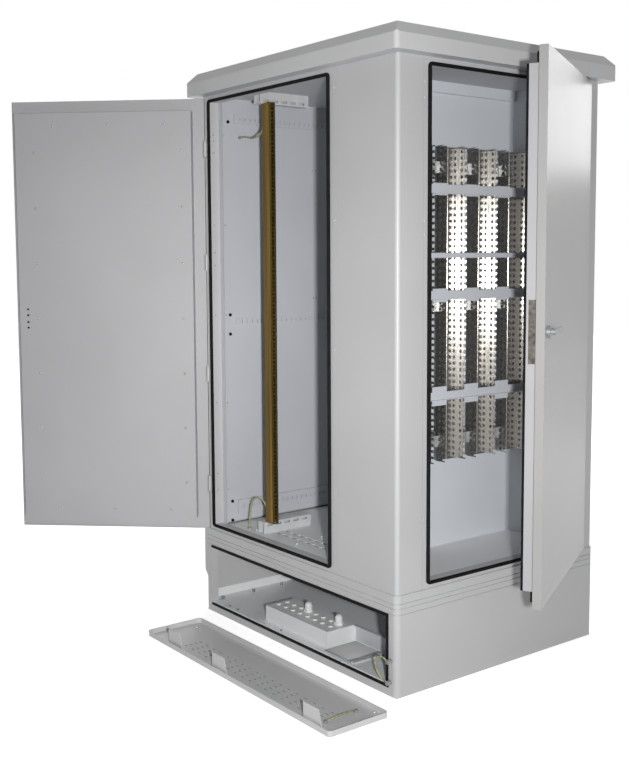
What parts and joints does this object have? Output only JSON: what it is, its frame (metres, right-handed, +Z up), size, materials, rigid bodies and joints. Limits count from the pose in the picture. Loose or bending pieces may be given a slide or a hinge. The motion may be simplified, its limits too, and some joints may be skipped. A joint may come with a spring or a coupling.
{
  "type": "roadside utility cabinet",
  "caption": "Free-standing outdoor utility cabinet on a plinth, with overhanging roof, hinged front and side doors, rack bay, wiring bay and a lift-off plinth cover.",
  "frame": {"origin": "on the ground, at the centre of the four anchor holes under the plinth", "axes": "+X to the right along the front, +Y to the back, +Z up"},
  "size_m": [2.0932, 1.6723, 2.214],
  "materials": {
    "outer_grey": "light grey powder coat, satin",
    "inner_grey": "light grey powder coat, matt",
    "seal_black": "matt black foam rubber",
    "yellow_zinc": "yellow passivated zinc",
    "stainless": "bright stainless sheet",
    "zinc_steel": "zinc plated",
    "gland_white": "white moulded plastic",
    "guide_grey": "grey moulded plastic",
    "earth_yellow_green": "yellow and green cable sheath",
    "lock_bronze": "bronze toned lock plate"
  },
  "bodies": {
    "cabinet": {"plinth_frame": "outer_grey", "plinth_floor": "inner_grey", "gland_box": "inner_grey", "cable_glands": "gland_white", "blanking_plugs": "gland_white", "cable_entry": "inner_grey", "plinth_seal": "seal_black", "base_frame": "outer_grey", "air_inlet_hood": "outer_grey", "left_panel": "outer_grey", "rear_panel": "outer_grey", "front_frame": "outer_grey", "corner_panel": "outer_grey", "side_frame": "outer_grey", "top_plate": "inner_grey", "inner_left_wall": "inner_grey", "inner_rear_wall": "inner_grey", "inner_corner_wall": "inner_grey", "partition": "inner_grey", "equipment_floor": "inner_grey", "side_floor": "inner_grey", "wall_rails": "inner_grey", "front_seal": "seal_black", "side_seal": "seal_black", "roof_neck": "inner_grey", "roof_hood": "outer_grey", "rack_rails": "zinc_steel", "rack_upright_left": "yellow_zinc", "rack_upright_right": "yellow_zinc", "module_frame_1": "stainless", "module_frame_2": "stainless", "module_frame_3": "stainless", "module_frame_4": "stainless", "module_frame_5": "stainless", "module_supports": "zinc_steel", "wire_guides": "guide_grey", "earth_studs": "zinc_steel", "earth_lead_upper": "earth_yellow_green", "earth_lead_lower": "earth_yellow_green", "earth_lead_plinth": "earth_yellow_green", "earth_lead_cover": "earth_yellow_green", "plinth_cover": "outer_grey", "front_hinge_arms": "outer_grey", "side_hinge_arms": "outer_grey"},
    "front_door": {"front_door_skin": "outer_grey", "front_door_tray": "inner_grey", "front_hinge_pins": "outer_grey", "front_lock_case": "zinc_steel", "front_lock_plate": "outer_grey"},
    "front_handle": {"front_handle": "zinc_steel"},
    "front_latch": {"front_latch": "zinc_steel"},
    "side_door": {"side_door_skin": "outer_grey", "side_door_tray": "inner_grey", "side_door_gasket": "seal_black", "side_hinge_pins": "outer_grey", "side_lock_case": "zinc_steel", "side_lock_plate": "lock_bronze", "side_rod_guides": "seal_black"},
    "side_handle": {"side_handle": "zinc_steel"},
    "side_latch": {"side_latch": "zinc_steel"}
  },
  "joints": [
    {"name": "front_door_hinge", "type": "hinge", "parent": "cabinet", "child": "front_door", "pos_m": [-0.541, -0.523, 1.2345], "axis": [0, 0, 1], "range_deg": [0, 132.5]},
    {"name": "front_handle_turn", "type": "hinge", "parent": "front_door", "child": "front_handle", "pos_m": [-1.04893, -1.0477, 1.237], "axis": [-0.7373, 0.6756, 0], "range_deg": [0, 90]},
    {"name": "front_latch_slide", "type": "slide", "parent": "front_door", "child": "front_latch", "axis": [-0.6756, -0.7373, 0], "range_m": [0, 0.018]},
    {"name": "side_door_hinge", "type": "hinge", "parent": "cabinet", "child": "side_door", "pos_m": [0.613, 0.416, 1.2345], "axis": [0, 0, 1], "range_deg": [-29, 103.5]},
    {"name": "side_handle_turn", "type": "hinge", "parent": "side_door", "child": "side_handle", "pos_m": [0.9844, -0.21278, 1.237], "axis": [-0.8746, -0.4848, 0], "range_deg": [0, 90]},
    {"name": "side_latch_slide", "type": "slide", "parent": "side_door", "child": "side_latch", "axis": [0.4848, -0.8746, 0], "range_m": [0, 0.018]}
  ],
  "couplings": [
    {"joint": "front_latch_slide", "follows": "front_handle_turn", "m_per_rad": 0.011459},
    {"joint": "side_latch_slide", "follows": "side_handle_turn", "m_per_rad": 0.011459}
  ]
}
